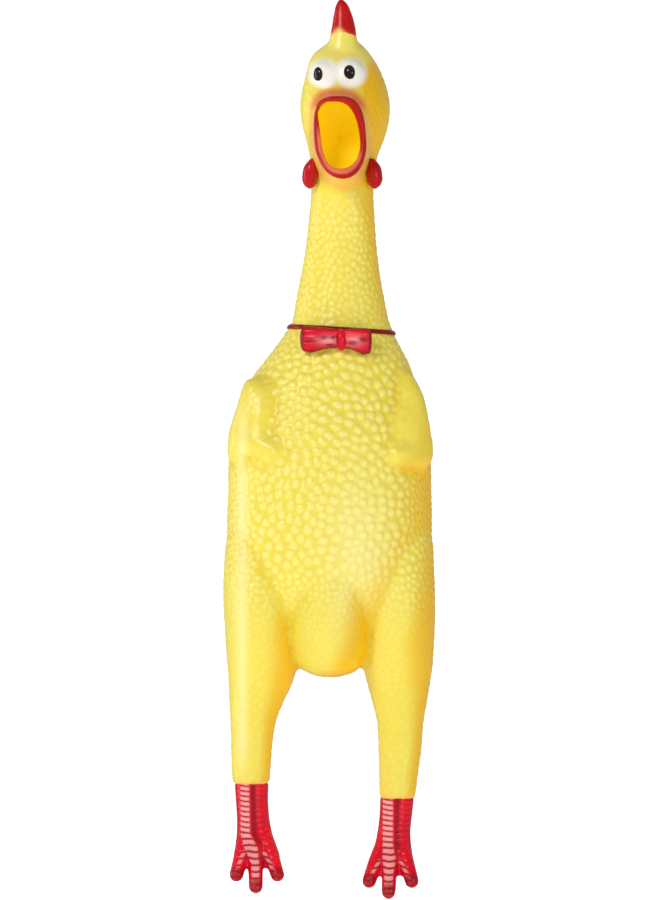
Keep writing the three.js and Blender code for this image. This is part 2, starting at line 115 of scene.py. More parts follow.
LEG_ROWS = {
    "left": [
        (-26, -37, -5, 4, 8), (-38, -35.2, -6, 10, 15.5), (-54, -32.6, -6.5, 14.2, 21.6),
        (-68, -31, -6.5, 16, 23.6), (-80, -30.2, -6, 16.2, 22.4), (-90, -29.9, -5, 16, 19.6),
        (-98, -30, -4.4, 15.2, 16.8), (-104, -30.6, -4, 14.2, 14.4), (-112, -32.4, -4, 12.2, 12.4),
        (-121, -33.9, -4, 10.2, 10.6), (-130, -34.5, -4, 9.3, 9.7), (-140, -34.8, -4, 8.8, 9.2),
        (CUFF["left"] + 1, -34.9, -4, 8.2, 8.6),
    ],
    "right": [
        (-26, 37, -5, 4, 8), (-38, 35.5, -6, 10, 15.5), (-54, 32.5, -6.5, 14.2, 21.6),
        (-68, 31.2, -6.5, 16, 23.6), (-80, 30.9, -6, 16.2, 22.4), (-90, 30.6, -5, 16, 19.6),
        (-98, 30.8, -4.4, 15.2, 16.8), (-104, 31, -4, 14, 14.4), (-112, 31.5, -4, 12.3, 12.4),
        (-121, 31.8, -4, 10.4, 10.8), (-132, 31.7, -4, 9.7, 10), (-144, 31.1, -4, 8.7, 9.2),
        (CUFF["right"] + 1, 30.4, -4, 8, 8.4),
    ],
}

RUMP_ROWS = [
    (-101, 0.4, -9, 4, 6), (-99.6, 0.4, -9, 9, 13), (-96, 0.4, -9.2, 13.8, 18.5),
    (-90, 0.4, -9.6, 16.8, 22.6), (-80, 0.2, -10, 18.8, 25.6), (-68, 0.4, -10, 19.4, 27),
    (-56, 1, -9, 19.4, 26.8), (-44, 2, -8, 14, 23),
]
# Beyond this half width, and below this height, the skin belongs to the legs.
RUMP_HALF_WIDTH = 17.2
RUMP_LOW = -101.6

# The skin rises here to meet the comb, whose lower part stands in it: under the ridge, and around the
# front spike.
COMB_ROOT_ROWS = [
    [
        (172, 6, 5, 11.4, 14.6), (177, 6, 5, 9.4, 13.6), (181, 6.2, 4.8, 7.4, 12.4),
        (184, 6.3, 5, 5.4, 10.4), (186, 6.2, 5, 3, 7),
    ],
    [
        (175, 6.2, -1.2, 9, 7.6), (181, 6.3, -1.4, 7.2, 7), (184, 6.4, -1.5, 6.2, 6.1),
        (187, 6.4, -1.5, 5.6, 5.4), (190, 6.3, -1.5, 4.9, 4.7), (192, 6.2, -1.5, 3, 3),
    ],
]

# Arms of the folded wings: path points with a radius.
WING_ARMS = {
    "left": [
        [
            (-33.6, -14.5, 27.6, 5.6), (-34.8, -16.2, 18, 6.8),
            (-37.4, -15.8, 8, 7.6), (-39.2, -14.6, -1, 6.8),
        ],
        [(-28.8, -17.2, 24, 5.6), (-29.4, -19.2, 16, 6.6), (-31, -20, 8, 6.8)],
        [(-37.6, -18, 4.6, 6.6), (-30.4, -23.4, 2.6, 5.8), (-23.6, -27.4, -0.8, 5)],
    ],
    "right": [
        [(34.2, -12, 31, 4.8), (36.4, -14.5, 22.5, 6.6), (38, -15.5, 12, 7), (40.2, -14, 0, 6.8)],
        [(35.4, -15, 23, 5), (32.4, -19.6, 12, 5.8), (31.4, -22, 3, 5.2)],
        [(35.6, -17, 16, 6.2), (35.8, -18.4, 8, 7), (36, -18.8, 2, 6.8)],
        [(40.2, -15.6, -2.2, 6.6), (35.5, -22, -1.6, 5.8), (30.6, -26, -1.8, 5)],
    ],
}

# Each foot: rings of the shank and of the palm that webs the toes, the three toe tips, and the strip of
# raised plates that carry a painted highlight (height, middle x, half width).
FEET = {
    "left": {
        "shank": [
            (CUFF["left"] + 2, -34.7, -4, 7.6, 7.6), (-158, -34.4, -4, 7.2, 7.2),
            (-166, -33.8, -4.4, 7.4, 7), (-172, -33.2, -6, 8.2, 6.2), (-177, -32.6, -8.6, 9.5, 5.2),
            (-182, -32.2, -12, 10.6, 4), (-186, -32, -15, 9, 2.6),
        ],
        "toes": [(-41.2, -20, -188.8), (-32.6, -24, -193.8), (-23, -20, -188.8)],
        "plates": [
            (-149, -37.6, 1.8), (-171, -37.3, 1.9), (-177, -34.8, 2.8), (-184, -32.8, 1.6),
            (-198, -32.6, 1.4),
        ],
    },
    "right": {
        "shank": [
            (CUFF["right"] + 2, 30.4, -4, 7.6, 7.6), (-163, 29.8, -4, 7.3, 7.2),
            (-170, 29, -4.4, 7.4, 7), (-176, 28.5, -6, 8.2, 6.2), (-181, 28, -8.6, 9.5, 5.2),
            (-186, 27.7, -12, 10.6, 4), (-189.5, 27.4, -15, 9, 2.6),
        ],
        "toes": [(17.8, -20, -191.6), (26.4, -24, -196.2), (36.8, -20, -191.6)],
        "plates": [
            (-155, 26.3, 2.1), (-176, 26.2, 2.1), (-182, 26.8, 2.8), (-189, 26.4, 1.8), (-202, 26.4, 1.4),
        ],
    },
}
TOE_RADIUS = {"root": 3.7, "tip": 3.15}
PLATE_HEIGHT = 2.3

# Spikes of the comb: y, height of the point, size.
COMB_POINTS = [(-1.5, 202.2, 1.0), (7.5, 197.5, 0.95), (15.5, 190, 0.8)]
COMB_X = 5.6
COMB_BASE = 176.0

BAND = {"x": 4.9, "z": 54.0, "tilt": -0.061, "proud": 0.4, "half": 1.1}
BOW = {"x": 4.2, "z": 49.4, "y": -24.6, "knot": 5.4, "left": -12.9, "right": 19.0, "tilt": -0.035}
# Reach above and below the bow's middle line, at shares of the loop's length.
BOW_EDGE = {
    "top": [(0, 4.2), (0.3, 4.9), (0.8, 5.4), (1, 4.6)],
    "bottom": [(0, 3.8), (0.3, 4.2), (0.75, 6.6), (1, 5.6)],
}
# Dents of the bow, and patches of painted highlight on it: x, z, half width, half height.
BOW_DENTS = [
    (-2.2, 50.2, 1.9, 0.8), (2.2, 50.2, 1.5, 0.8), (10.6, 47.8, 2.4, 0.8), (15.1, 49.4, 1.6, 0.9),
    (-8.4, 48.4, 3, 0.5), (0.6, 46.9, 2.4, 0.5),
]
BOW_HIGHLIGHTS = [(-0.6, 48.9, 4.6, 2.0), (11.0, 48.8, 3.6, 2.4)]


# ---------- surfaces ----------


def smooth_rows(rows, step):
    """Rows filled in every step of height along smooth curves (cubic pieces with matched slopes)."""
    rows = np.array(sorted(rows), float)
    z = rows[:, 0]
    slope = np.gradient(rows[:, 1:], z, axis=0)
    heights = np.linspace(z[0], z[-1], max(2, int((z[-1] - z[0]) / step) + 1))
    k = np.clip(np.searchsorted(z, heights, side="right") - 1, 0, len(z) - 2)
    width = (z[k + 1] - z[k])[:, None]
    t = ((heights - z[k]) / width[:, 0])[:, None]
    low, high = rows[k, 1:], rows[k + 1, 1:]
    filled = (
        (2 * t**3 - 3 * t**2 + 1) * low + (t**3 - 2 * t**2 + t) * width * slope[k]
        + (3 * t**2 - 2 * t**3) * high + (t**3 - t**2) * width * slope[k + 1]
    )
    return np.column_stack([heights, filled])


def ring_faces(levels, count):
    """Quads between rings of points that follow each other."""
    i = np.arange(count)
    j = (i + 1) % count
    faces = []
    for k in range(levels - 1):
        low, high = k * count, (k + 1) * count
        faces += np.column_stack([low + i, low + j, high + j, high + i]).tolist()
    return faces


def rings_surface(rings):
    """Points and faces of a closed skin through rings of points: (rings, points per ring, 3)."""
    levels, count, _ = rings.shape
    points = np.vstack([rings.reshape(-1, 3), rings[0].mean(0), rings[-1].mean(0)])
    i = np.arange(count)
    j = (i + 1) % count
    top = (levels - 1) * count
    faces = ring_faces(levels, count)
    faces += np.column_stack([j, i, np.full(count, levels * count)]).tolist()
    faces += np.column_stack([top + i, top + j, np.full(count, levels * count + 1)]).tolist()
    return points, faces


def torus_surface(rings):
    """Points and faces of a ring-shaped skin: the last ring of points joins back to the first."""
    levels, count, _ = rings.shape
    k, i = np.meshgrid(np.arange(levels), np.arange(count), indexing="ij")
    a, b = k * count + i, k * count + (i + 1) % count
    c, d = ((k + 1) % levels) * count + (i + 1) % count, ((k + 1) % levels) * count + i
    return rings.reshape(-1, 3), np.stack([a, b, c, d], -1).reshape(-1, 4).tolist()


def turned_outward(points, faces):
    """The same faces, all flipped if they enclose a negative volume."""
    corners = []
    for f in faces:
        corners += [(points[f[0]], points[f[i]], points[f[i + 1]]) for i in range(1, len(f) - 1)]
    a, b, c = np.swapaxes(np.array(corners), 0, 1)
    volume = np.einsum("ij,ij->i", a, np.cross(b, c)).sum()
    return [f[::-1] for f in faces] if volume < 0 else faces


def level_form(rows, step=1.5, around=72):
    """A closed form whose level sections are ovals."""
    rows = smooth_rows(rows, step)
    angle = np.linspace(0, 2 * np.pi, around, endpoint=False)
    z, x, y, w, d = (rows[:, i, None] for i in range(5))
    ring = np.stack([x + w * np.cos(angle), y + d * np.sin(angle), z + 0 * angle], -1)
    return rings_surface(ring)


def ball_form(middle, radii, up=24, around=36):
    """A closed oval ball."""
    lat = np.linspace(-np.pi / 2, np.pi / 2, up)[1:-1, None]
    lon = np.linspace(0, 2 * np.pi, around, endpoint=False)
    ring = np.stack([np.cos(lat) * np.cos(lon), np.cos(lat) * np.sin(lon), np.sin(lat) + 0 * lon], -1)
    return rings_surface(ring * np.array(radii) + np.array(middle))


def arm_form(path, around=28, steps=8):
    """A rounded finger along a path of points with radii; its ends are half balls."""
    path = np.array(path, float)
    knots = np.linspace(0, len(path) - 1, steps * (len(path) - 1) + 1)
    dense = np.column_stack([np.interp(knots, np.arange(len(path)), path[:, i]) for i in range(4)])
    for _ in range(steps // 2):
        dense[1:-1] = (dense[:-2] + 2 * dense[1:-1] + dense[2:]) / 4
    along = np.gradient(dense[:, :3], axis=0)
    along /= np.linalg.norm(along, axis=1, keepdims=True)
    cap = np.linspace(0, np.pi / 2, 6)[1:]
    centre = [dense[0, :3] - along[0] * dense[0, 3] * np.sin(a) for a in cap[::-1]]
    radius = [dense[0, 3] * np.cos(a) for a in cap[::-1]]
    centre += list(dense[:, :3])
    radius += list(dense[:, 3])
    centre += [dense[-1, :3] + along[-1] * dense[-1, 3] * np.sin(a) for a in cap]
    radius += [dense[-1, 3] * np.cos(a) for a in cap]
    heading = np.vstack([np.repeat(along[:1], 5, 0), along, np.repeat(along[-1:], 5, 0)])
    side = np.cross(heading, [0.31, 0.83, 0.47])
    side /= np.linalg.norm(side, axis=1, keepdims=True)
    other = np.cross(heading, side)
    angle = np.linspace(0, 2 * np.pi, around, endpoint=False)[None, :, None]
    ring = side[:, None] * np.cos(angle) + other[:, None] * np.sin(angle)
    return rings_surface(np.array(centre)[:, None] + ring * np.array(radius)[:, None, None])


def mesh_from(name, points, faces):
    """A mesh in metres from points in millimetres."""
    mesh = bpy.data.meshes.new(name)
    mesh.from_pydata((np.asarray(points) * MM).tolist(), [], faces)
    mesh.update()
    return mesh


def melted(name, forms, voxel, rounds):
    """One smooth skin around several forms: rebuilt on a grid of voxels, then relaxed and subdivided.

    Each round of relaxing moves every point halfway to the mean of its neighbours, which rounds the
    creases where forms meet.
    """
    points, faces = [], []
    for form_points, form_faces in forms:
        start = sum(len(p) for p in points)
        faces += [[start + i for i in f] for f in turned_outward(form_points, form_faces)]
        points.append(form_points)
    rough = bpy.data.objects.new(name, mesh_from(name, np.vstack(points), faces))
    bpy.context.scene.collection.objects.link(rough)
    remesh = rough.modifiers.new("Voxels", "REMESH")
    remesh.mode = "VOXEL"
    remesh.voxel_size = voxel * MM
    relax = rough.modifiers.new("Relax", "SMOOTH")
    relax.factor = 0.5
    relax.iterations = rounds
    finer = rough.modifiers.new("Finer", "SUBSURF")
    finer.levels = finer.render_levels = 1
    done = rough.evaluated_get(bpy.context.evaluated_depsgraph_get()).to_mesh()
    out = np.empty(len(done.vertices) * 3)
    done.vertices.foreach_get("co", out)
    corners = np.empty(len(done.loops), int)
    done.loops.foreach_get("vertex_index", corners)
    quads = corners.reshape(-1, 4)
    rough.evaluated_get(bpy.context.evaluated_depsgraph_get()).to_mesh_clear()
    bpy.data.objects.remove(rough)
    return out.reshape(-1, 3) / MM, quads


def point_normals(points, quads):
    """Outward unit normals: the mean of the faces around each point, weighted by their size."""
    across = points[quads[:, 2]] - points[quads[:, 0]]
    down = points[quads[:, 3]] - points[quads[:, 1]]
    face = np.cross(across, down)
    out = np.zeros_like(points)
    for i in range(4):
        np.add.at(out, quads[:, i], face)
    return out / np.maximum(np.linalg.norm(out, axis=1, keepdims=True), 1e-12)


def relaxed(points, quads, rounds):
    """The points after each has been moved to the mean of its neighbours, round after round."""
    smooth = points.copy()
    ends = np.concatenate([quads[:, [0, 1]], quads[:, [1, 2]], quads[:, [2, 3]], quads[:, [3, 0]]])
    count = np.bincount(ends.ravel(), minlength=len(points))[:, None]
    for _ in range(rounds):
        total = np.stack([
            np.bincount(ends[:, 0], smooth[ends[:, 1], i], len(points))
            + np.bincount(ends[:, 1], smooth[ends[:, 0], i], len(points)) for i in range(3)
        ], -1)
        smooth = total / count
    return smooth


def hollows(points, quads, rounds, deepest):
    """1 in the creases of a surface, 0 on flats and bulges.

    In a crease the relaxed surface lies outside the real one, and the mask is how far outside, as a share
    of the deepest.
    """
    smooth = relaxed(points, quads, rounds)
    outside = ((smooth - points) * point_normals(smooth, quads)).sum(1)
    return np.clip(outside / deepest, 0, 1)


def ease(value, low, high):
    """0 below low, 1 above high, smooth between."""
    t = np.clip((value - low) / (high - low), 0, 1)
    return t * t * (3 - 2 * t)


# ---------- pebbles ----------


def scattered(points, spacing, seed):
    """A choice of points of which no two are nearer to each other than the spacing at that place."""
    cell = spacing.max()
    taken = {}
    chosen = []
    order = np.random.default_rng(seed).permutation(len(points))
    keys = np.floor(points / cell).astype(int)
    for i in order:
        here, key, reach = points[i], keys[i], spacing[i]
        crowded = False
        for dx in (-1, 0, 1):
            for dy in (-1, 0, 1):
                for dz in (-1, 0, 1):
                    for other in taken.get((key[0] + dx, key[1] + dy, key[2] + dz), ()):
                        if ((other - here) ** 2).sum() < reach * reach:
                            crowded = True
                            break
        if not crowded:
            taken.setdefault(tuple(key), []).append(here)
            chosen.append(i)
    return np.array(chosen)


def cobbles(points, spacing, seed):
    """Height of a pebble at each point, 0 to 1: rounded cobbles that touch, with narrow valleys between.

    One half of the height rises with how much nearer the nearest scattered middle is than the second
    nearest, times a round top; the other half is a plain dome around the nearest middle.
    """
    middles = scattered(points, spacing, seed)
    tree = kdtree.KDTree(len(middles))
    for k, i in enumerate(middles):
        tree.insert(points[i], k)
    tree.balance()
    pairs = [tree.find_n(p, 2) for p in points]
    near, far = np.array([(a[2], b[2]) for a, b in pairs]).T
    size = spacing[middles][[a[1] for a, _ in pairs]]
    lead = np.clip((far - near) / (0.9 * size), 0, 1)
    cobble = (1 - (1 - lead) ** 2) * np.clip(1 - (near / (0.9 * size)) ** 2, 0, 1)
    dome = np.clip(1 - (near / (0.66 * size)) ** 2, 0, 1)
    return (cobble + dome) / 2


# ---------- the yellow skin ----------


def turned_head(points):
    """The head's sections slide sideways with depth, so that the face looks a little to the left."""
    moved = points.copy()
    moved[:, 0] += SKULL_SHEAR * ease(points[:, 2], 118, 140) * points[:, 1]
    return moved


def mouth_curve(shape, angle):
    """Points x, z of a leaning oval at each angle; it is squarer at the top than at the bottom."""
    c, s = np.cos(angle), np.sin(angle)
    top, bottom = shape["square"]
    square = bottom + (top - bottom) * ease(s, -0.5, 0.5)
    across = np.sign(c) * np.abs(c) ** (2 / square)
    up = np.sign(s) * np.abs(s) ** (2 / square)
    z = shape["h"] * up
    return shape["x"] + shape["w"] * across + shape["lean"] * z + shape["bend"] * z * z, shape["z"] + z


def mouth_edge(angle):
    """How far forward the beak's edge is: its two tips reach further than its corners."""
    return MOUTH["y_corner"] + (MOUTH["y_tip"] - MOUTH["y_corner"]) * np.sin(angle) ** 2


def grown(x, y, z, middle, scale):
    """A ring of points x, y, z, scaled around its middle in x and z."""
    return np.stack([middle[0] + (x - middle[0]) * scale, y, middle[1] + (z - middle[1]) * scale], -1)


def beak_form():
    """The open beak, from the face to just under the lip."""
    angle = np.linspace(0, 2 * np.pi, 72, endpoint=False)
    rings = []
    for t in np.linspace(0, 1, 14):
        grow = 1.28 - 0.3 * t**0.8
        middle = np.array([MOUTH_OUTER["x"], MOUTH_OUTER["z"]])
        x, z = mouth_curve(MOUTH_OUTER, angle)
        y = (1 - t) * -4 + t * (mouth_edge(angle) + 1.2)
        rings.append(grown(x, y, z, middle, grow))
    return rings_surface(np.array(rings))


def skin_forms():
    """Every form that melts into the one yellow skin."""
    body, body_faces = level_form(BODY_ROWS, around=96)
    forms = [(turned_head(body), body_faces), level_form(RUMP_ROWS), beak_form()]
    forms += [level_form(rows, step=1) for rows in COMB_ROOT_ROWS]
    forms += [level_form(rows) for rows in LEG_ROWS.values()]
    forms += [arm_form(arm) for arms in WING_ARMS.values() for arm in arms]
    forms += [ball_form(eye["ball"], eye["r"]) for eye in EYES.values()]
    return forms


def near_wing(points, inner=-0.6, outer=1.2):
    """1 on the smooth wings up to inner mm from their arms, 0 beyond outer mm."""
    mask = np.zeros(len(points))
    for arms in WING_ARMS.values():
        for arm in arms:
            arm = np.array(arm)
            for a, b in zip(arm[:-1], arm[1:]):
                along = b[:3] - a[:3]
                t = np.clip((points - a[:3]) @ along / (along @ along), 0, 1)
                radius = a[3] + t * (b[3] - a[3])
                away = np.linalg.norm(points - a[:3] - t[:, None] * along, axis=1) - radius
                mask = np.maximum(mask, 1 - ease(away, inner, outer))
    return mask


def mouth_distance(points):
    """How far outside the lip's outer edge each point is, in the plane of the face.

    The curve of mouth_curve is undone: the lean and bend are taken off, then |x|^n + |z|^n is 1
    on the edge.
    """
    shape = MOUTH_OUTER
    dz = points[:, 2] - shape["z"]
    x = np.abs(points[:, 0] - shape["x"] - shape["lean"] * dz - shape["bend"] * dz**2) / shape["w"]
    z = np.abs(dz) / shape["h"]
    top, bottom = shape["square"]
    square = bottom + (top - bottom) * ease(dz / shape["h"], -0.5, 0.5)
    share = (x**square + z**square) ** (1 / square)
    return (share - 1) * shape["w"] + FAR * (points[:, 1] > BEAK_PAINT_BACK)


def eye_distance(points):
    """How far outside the white of the eyes each point is, in the plane of the face."""
    away = np.full(len(points), FAR)
    for eye in EYES.values():
        x = (points[:, 0] - eye["ball"][0]) / (eye["r"][0] + 0.6)
        z = (points[:, 2] - eye["ball"][2]) / (eye["r"][2] + 0.2)
        away = np.minimum(away, (np.hypot(x, z) - 1) * eye["r"][0])
    return away + FAR * (points[:, 1] > EYE_PAINT_BACK)


def skin_pebbles(points, normals):
    """Height in mm of the pebbles: large on the breast, finer on neck, sides and back, faint on legs."""
    x, y, z = points.T
    front = ease(-normals[:, 1], 0.1, 0.7)
    breast = front * ease(z, -62, -50) * (1 - ease(z, 38, 50)) * (1 - ease(abs(x - 1), 30, 38))
    spacing = 2.5 + 1.15 * breast + 0.4 * (z < -100)
    dome = cobbles(points, spacing, SEED)
    faint = ease(-z, 60, 85)
    tall = 0.38 + 0.26 * breast - 0.18 * faint - 0.18 * ease(z, 100, 116)
    tall = tall * (1 - 0.9 * near_wing(points, -0.6, 2.4))
    tall = tall * ease(mouth_distance(points), 0.5, 5) * ease(eye_distance(points), 0, 3)
    tall = tall * (1 - ease(y, BACK_FLAT - 2, BACK_FLAT - 0.5)) * (1 - ease(z, 170, 178))
    return dome, tall * dome


def painted_sheen(points, normals):
    """1 where a painted highlight makes the vinyl paler: the belly, and a streak down the left flank and
    leg.
    """
    x, _, z = points.T
    front = ease(-normals[:, 1], 0.1, 0.5)
    belly = 0.65 * np.exp(-(((x - 13) / 14) ** 2) - ((z + 46) / 36) ** 2)
    streak = np.exp(-(((x + 38.6) / 2.4) ** 2)) * ease(z, -152, -130) * (1 - ease(z, 5, 30))
    return front * np.maximum(belly, streak)


def painted_side_shade(points, normals):
    """1 on undersides, on the right and beside the face, where amber is painted as shade; 0 towards the
    back.
    """
    x, y, z = points.T
    head_side = 0.6 * ease(z, 118, 134) * ease(x, 10, 19) * (1 - ease(z, 166, 182))
    shade = ease(0.8 * normals[:, 0] - 0.7 * normals[:, 2] + head_side, 0.28, 0.85)
    return shade * (1 - 0.45 * near_wing(points)) * (1 - ease(y, -6, 24))


def yellow_skin():
    """Points, faces, normals and paint masks of the whole skin before it is parted at the bends."""
    points, quads = melted("skin", skin_forms(), voxel=1.4, rounds=7)
    soft = 0.85 * near_wing(points, 0.5, 3.5)[:, None]
    points = points + soft * (relaxed(points, quads, rounds=22) - points)
    points[:, 1] = np.minimum(points[:, 1], BACK_FLAT)
    normals = point_normals(points, quads)
    dome, height = skin_pebbles(points, normals)
    # painted shade: the crease mask lays ochre in the creases
    crease = hollows(points, quads, rounds=60, deepest=0.75)
    side_shade = painted_side_shade(points, normals)
    pale = painted_sheen(points, normals)
    # painted highlight on the pebble tops and painted shade between them; the crown above 160 mm also takes
    # the lighter tone
    pebble = ease(dome, 0, 0.8) * np.clip(height / 0.4, 0, 1) * (1 - 0.4 * ease(-points[:, 2], 60, 85))
    points = points + normals * height[:, None]
    cuff = np.where(points[:, 0] < 0, CUFF["left"], CUFF["right"])
    beak = mouth_distance(points)
    masks = {
        "pebble": np.maximum(pebble, 0.75 * ease(points[:, 2], 160, 174)),
        "pale": pale,
        "side_shade": side_shade,
        "crease": crease,
        "eye_white": 1 - ease(eye_distance(points), -1.4, 1.9),
        "blush": 1 - np.minimum(ease(beak, 0.5, 4), ease(points[:, 2] - cuff, 0.5, 4.5)),
        "smear": (1 - ease(beak, 0.8, 3.8)) * ease(points[:, 2], 150, 155),
    }
    return points, quads, point_normals(points, quads), masks


def object_from(name, points, faces, material, masks=None, normals=None):
    """A smooth object at the origin with its paint masks, made from points in millimetres."""
    mesh = mesh_from(name, points, faces)
    mesh.shade_smooth()
    for mask, values in (masks or {}).items():
        attribute = mesh.attributes.new(mask, "FLOAT", "POINT")
        attribute.data.foreach_set("value", np.asarray(values, np.float32))
    if normals is not None:
        mesh.normals_split_custom_set_from_vertices(normals.tolist())
    mesh.materials.append(material)
    thing = bpy.data.objects.new(name, mesh)
    bpy.context.scene.collection.objects.link(thing)
    return thing


def skin_piece(name, skin, chosen, material):
    """The chosen faces of the skin as an object of their own, with the whole skin's normals."""
    points, quads, normals, masks = skin
    kept = quads[chosen]
    used, new = np.unique(kept, return_inverse=True)
    faces = new.reshape(-1, 4).tolist()
    own_masks = {mask: values[used] for mask, values in masks.items()}
    return object_from(name, points[used], faces, material, own_masks, normals[used])


def bend_between(piece):
    """The piece's placement is baked into its points; it follows no body."""
    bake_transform(piece)


def part_skin(skin, material):
    """The skin parted at its bends; the torso and head pieces are tied to their bodies, the others stay
    unattached.
    """
    points, quads = skin[0], skin[1]
    middles = points[quads].mean(1)
    x, y, z = middles.T
    under_lip = mouth_distance(middles) < -1.3
    in_mouth = under_lip & (y < MOUTH["y_corner"] + 5)
    neck = (z >= NECK_LOW) & (z < NECK_MIDDLE)
    throat = (z >= NECK_MIDDLE) & (z < HEAD_LOW)
    head = (z >= HEAD_LOW) & ~in_mouth
    leg = z < LEG_HIGH
    limb = leg & ((abs(x) > RUMP_HALF_WIDTH) | (z < RUMP_LOW))
    torso = (z < NECK_LOW) & ~limb
    belly = torso & (y < BELLY_EDGE)

    piece = skin_piece("skin_torso", skin, torso & ~belly, material)
    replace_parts(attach(piece, "torso"), "torso_skin", "wing_left", "wing_right")
    piece = skin_piece("skin_belly", skin, belly, material)
    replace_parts(piece, "belly_panel")
    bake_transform(piece)

    piece = skin_piece("skin_neck_low", skin, neck, material)
    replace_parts(piece, "neck_skin")
    bend_between(piece)
    piece = skin_piece("skin_neck_high", skin, throat, material)
    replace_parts(piece, "neck_skin")
    bend_between(piece)
    piece = skin_piece("skin_head", skin, head, material)
    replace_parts(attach(piece, "head"), "head_skin", "eyeball_left", "eyeball_right")

    for side, sign in (("left", -1), ("right", 1)):
        own = limb & (x * sign > 0)
        thigh = skin_piece(f"skin_thigh_{side}", skin, own & (z >= LEG_MIDDLE), material)
        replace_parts(thigh, f"leg_upper_{side}")
        bend_between(thigh)
        calf = skin_piece(f"skin_calf_{side}", skin, own & (z < LEG_MIDDLE), material)
        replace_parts(calf, f"leg_lower_{side}")
        bend_between(calf)


# ---------- painted and added pieces ----------


def beak_lip(material):
    """The lip: midway between the mouth's inner and outer curve, with an oval section."""
    angle = np.linspace(0, 2 * np.pi, 160, endpoint=False)
    turn = np.linspace(0, 2 * np.pi, 28, endpoint=False)
    inner_x, inner_z = mouth_curve(MOUTH_INNER, angle)
    outer_x, outer_z = mouth_curve(MOUTH_OUTER, angle)
    inner = np.stack([inner_x, mouth_edge(angle), inner_z], -1)
    outer = np.stack([outer_x, mouth_edge(angle), outer_z], -1)
    middle, half = (inner + outer) / 2, (outer - inner) / 2
    deep = np.array([0, -LIP_DEPTH, 0])
    c, s = np.cos(turn)[None, :, None], np.sin(turn)[None, :, None]
    rings = middle[:, None] + half[:, None] * c + deep * s
    points, faces = torus_surface(rings)
    inside = np.tile(-np.cos(turn), len(angle))
    x, z = points[:, 0] - MOUTH_OUTER["x"], points[:, 2] - MOUTH_OUTER["z"]
    # painted highlight: salmon on the inner face of the lip at the lower left, where it catches the light
    lit_low_left = ease(-z - 0.5 * x, -2, 6)
    masks = {"inside": ease(inside, -0.35, 0.35) * lit_low_left}
    lip = object_from("lip", points, turned_outward(points, faces), material, masks)
    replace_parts(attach(lip, "head"), "beak_lip")


def mouth_lining(material):
    """The pocket behind the lip: the mouth's inner curve drawn back and closed with a round floor."""
    angle = np.linspace(0, 2 * np.pi, 96, endpoint=False)
    x, z = mouth_curve(MOUTH_INNER, angle)
    edge = mouth_edge(angle)
    middle = np.array([MOUTH_INNER["x"], MOUTH_INNER["z"]])
    rings = []
    for t in np.linspace(0, 1, 26):
        turn = ease(t, 0.45, 1.0) * np.pi / 2
        grow = 1.1 * np.cos(turn * 0.985)
        depth = (edge - 0.5) * (1 - t) + MOUTH["back"] * t + 2 * np.sin(turn)
        rings.append(grown(x, depth, z, middle, grow))
    rings = np.array(rings)
    count = len(angle)
    points = np.vstack([rings.reshape(-1, 3), rings[-1].mean(0)])
    last = (len(rings) - 1) * count + np.arange(count)
    following = np.roll(last, -1)
    faces = ring_faces(len(rings), count)
    faces += np.column_stack([last, following, np.full(count, len(points) - 1)]).tolist()
    lining = object_from("lining", points, faces, material)
    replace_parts(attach(lining, "head"), "mouth_liner")


def comb(material):
    """The comb: a row of leaning spikes that grow out of one ridge along the crown."""
    forms = [ball_form((COMB_X + 0.4, 7, 178), (4.2, 11, 8.5))]
    for y, top, size in COMB_POINTS:
        rise = top - COMB_BASE
        rows = [
            (COMB_BASE, COMB_X + 0.6, y, 6.2 * size, 6.2 * size),
            (COMB_BASE + rise * 0.33, COMB_X + 0.8, y, 6 * size, 5.6 * size),
            (COMB_BASE + rise * 0.6, COMB_X + 0.8, y, 4.9 * size, 4.6 * size),
            (COMB_BASE + rise * 0.8, COMB_X + 0.4, y, 3.6 * size, 3.4 * size),
            (COMB_BASE + rise * 0.93, COMB_X, y, 2.2 * size, 2.2 * size),
            (top, COMB_X - 0.4, y, 0.5, 0.5),
        ]
        forms.append(level_form(rows, step=1, around=40))
    points, quads = melted("comb", forms, voxel=0.9, rounds=4)
    x, _, z = points.T
    root = 185 + 3.6 * np.exp(-(((x - 4.4) / 3.2) ** 2))
    masks = {"red": ease(z, root - 2.2, root + 1.8), "peach": ease(z, root - 4, root)}
    piece = object_from("comb_skin", points, quads.tolist(), material, masks)
    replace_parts(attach(piece, "head"), "comb")


def wattles(material):
    """Two glossy drops that hang beside the lower beak."""
    for side, x in (("left", -8.2), ("right", 20.0)):
        sign = -1 if side == "left" else 1
        rows = [
            (116.8, x + sign * 0.3, -9, 0.6, 0.6), (117.8, x + sign * 0.4, -9, 2, 2.4),
            (119.6, x + sign * 0.5, -9, 3, 3.6), (123.4, x + sign * 0.2, -9, 3.5, 4.4),
            (127, x - sign * 0.2, -9, 3, 4), (130.2, x - sign * 1.2, -9, 1.4, 2.6),
        ]
        points, faces = level_form(rows, step=0.5, around=48)
        piece = object_from(f"wattle_drop_{side}", points, turned_outward(points, faces), material)
        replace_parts(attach(piece, "head"), f"wattle_{side}")


